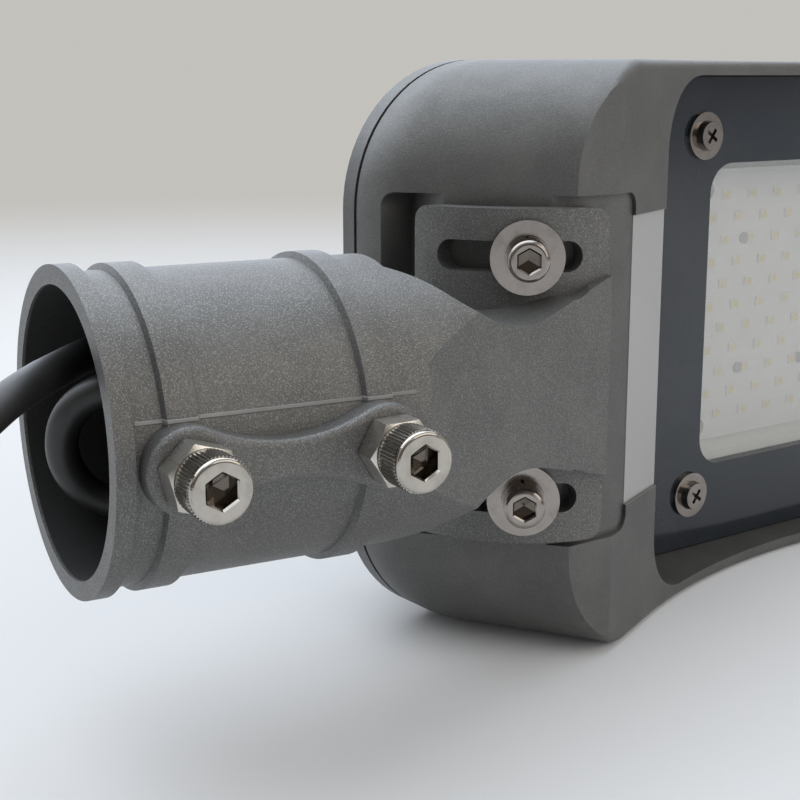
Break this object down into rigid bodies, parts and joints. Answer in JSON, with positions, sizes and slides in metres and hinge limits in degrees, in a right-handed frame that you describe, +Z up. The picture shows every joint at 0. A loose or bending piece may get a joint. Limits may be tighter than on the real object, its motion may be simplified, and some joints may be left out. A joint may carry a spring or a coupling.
{
  "type": "led street light",
  "caption": "Street light head with a flat light window, tilting on a slotted curved shoe of a cast bracket whose round socket clamps over a pole end, with a black supply lead.",
  "frame": {"origin": "bottom centre of the box round the rigid pieces, on the surface that the light lies on, without the free lead", "axes": "lying on its long side: +X along the head from the socket's mouth to the head's front, -Y the way the light shines, +Y the top cover, +Z up. Installed on a pole, -Y points at the ground and Z is level."},
  "size_m": [0.6095, 0.1438, 0.153],
  "materials": {
    "cast": "satin powder coat",
    "frame_black": "gloss black enamel",
    "glass": "clear",
    "lens": "clear",
    "board": "white solder mask",
    "led": "phosphor",
    "steel": "zinc plated",
    "stainless": "bright",
    "dark_steel": "black oxide",
    "rubber": "matte",
    "seal": "matte",
    "lead": "satin",
    "copper": "tinned",
    "driver": "satin",
    "plastic": "satin",
    "white_plastic": "satin"
  },
  "bodies": {
    "bracket": {"bracket": "cast", "socket_lead": "lead", "lead_tail": "lead", "lead_cores": "copper", "inner_lead": "lead"},
    "clamp_near": {"clamp_screw_near": "steel", "lock_nut_near": "steel"},
    "clamp_far": {"clamp_screw_far": "steel", "lock_nut_far": "steel"},
    "head": {"housing": "cast", "top_cover": "cast", "cover_gasket": "seal", "cover_screws": "stainless", "panel_frame": "frame_black", "window_glass": "glass", "panel_gasket": "seal", "panel_screws": "stainless", "led_board": "board", "led_chips": "led", "lens_plate": "lens", "board_screws": "stainless", "driver": "driver", "driver_screws": "stainless", "terminal_block": "white_plastic", "surge_protector": "plastic", "cable_gland": "plastic", "gland_nut": "plastic", "pivot_screws": "stainless", "pivot_spring_washers": "stainless", "pivot_washers": "stainless"}
  },
  "joints": [
    {"name": "tilt", "type": "hinge", "parent": "bracket", "child": "head", "pos_m": [-0.0618, 0.01021, 0.0765], "axis": [0, 0, 1], "range_deg": [-27.2, 12.8], "deforming": ["inner_lead"]},
    {"name": "clamp_near_out", "type": "slide", "parent": "bracket", "child": "clamp_near", "axis": [-0.1253, -0.9921, 0], "range_m": [0, 0.006]},
    {"name": "clamp_far_out", "type": "slide", "parent": "bracket", "child": "clamp_far", "axis": [-0.1253, -0.9921, 0], "range_m": [0, 0.006]}
  ]
}
